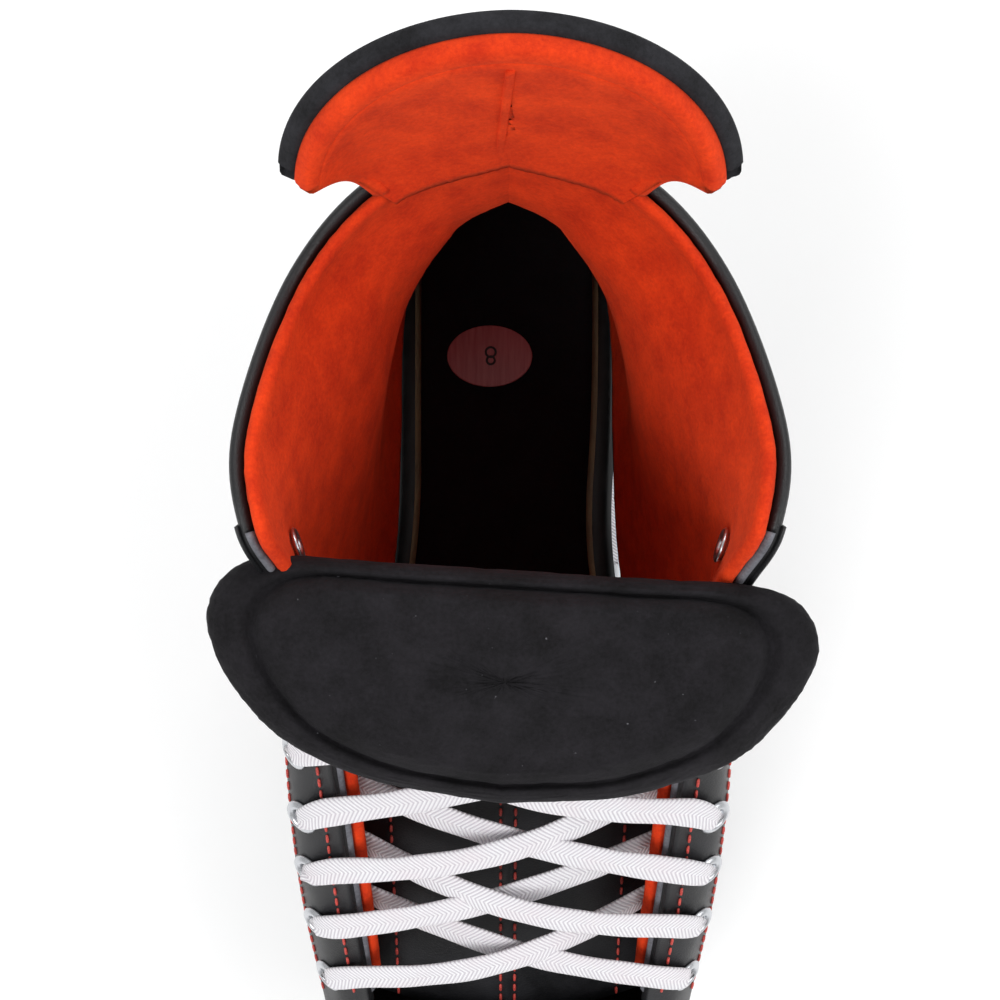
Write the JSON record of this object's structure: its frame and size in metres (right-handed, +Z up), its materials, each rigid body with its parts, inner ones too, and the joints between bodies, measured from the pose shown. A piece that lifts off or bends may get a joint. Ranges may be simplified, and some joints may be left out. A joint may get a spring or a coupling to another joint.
{
  "type": "hockey skate",
  "caption": "Right ice hockey skate: laced boot with folded felt tongue, flexing tendon guard, plastic holder and steel runner.",
  "frame": {"origin": "on the flat middle of the runner's bottom, below the boot's centre", "axes": "+Z up, -Y towards the toe, +X towards the medial side"},
  "size_m": [0.124, 0.3052, 0.264],
  "materials": {
    "steel": "satin",
    "holder_plastic": "gloss",
    "sole_plastic": "satin",
    "board": "matte",
    "felt": "matte",
    "liner_felt": "matte",
    "foam": "matte",
    "leather": "satin",
    "label": "satin",
    "lace_cotton": "matte",
    "aglet_plastic": "gloss"
  },
  "bodies": {
    "boot": {"runner": "steel", "holder": "holder_plastic", "front_runner_bolt": "steel", "front_runner_nut": "steel", "rear_runner_bolt": "steel", "rear_runner_nut": "steel", "outsole": "sole_plastic", "insole_board": "board", "footbed": "felt", "toe_cap": "sole_plastic", "size_sticker": "label", "heel_backstay": "sole_plastic", "tongue_lower": "leather", "lace_first_half": "lace_cotton", "lace_second_half": "lace_cotton", "medial_quarter": "leather", "medial_liner": "liner_felt", "medial_ankle_foam": "foam", "medial_eyelet_1": "steel", "medial_eyelet_2": "steel", "medial_eyelet_3": "steel", "medial_eyelet_4": "steel", "medial_eyelet_5": "steel", "medial_eyelet_6": "steel", "medial_eyelet_7": "steel", "medial_eyelet_8": "steel", "medial_lace_end": "lace_cotton", "medial_lace_hank": "lace_cotton", "medial_lace_aglet": "aglet_plastic", "lateral_quarter": "leather", "lateral_liner": "liner_felt", "lateral_ankle_foam": "foam", "lateral_eyelet_1": "steel", "lateral_eyelet_2": "steel", "lateral_eyelet_3": "steel", "lateral_eyelet_4": "steel", "lateral_eyelet_5": "steel", "lateral_eyelet_6": "steel", "lateral_eyelet_7": "steel", "lateral_eyelet_8": "steel", "lateral_lace_end": "lace_cotton", "lateral_lace_hank": "lace_cotton", "lateral_lace_aglet": "aglet_plastic"},
    "tongue": {"tongue_flap": "felt", "tongue_pad": "felt"},
    "guard": {"tendon_guard": "sole_plastic", "tendon_guard_lining": "liner_felt"}
  },
  "joints": [
    {"name": "tongue_fold", "type": "hinge", "parent": "boot", "child": "tongue", "pos_m": [0, 0.017, 0.214], "axis": [-1, 0, 0], "range_deg": [0, 110]},
    {"name": "tendon_guard_flex", "type": "hinge", "parent": "boot", "child": "guard", "pos_m": [0, 0.116, 0.214], "axis": [-1, 0, 0], "range_deg": [-5, 15], "stiffness_Nm_per_rad": 2}
  ]
}
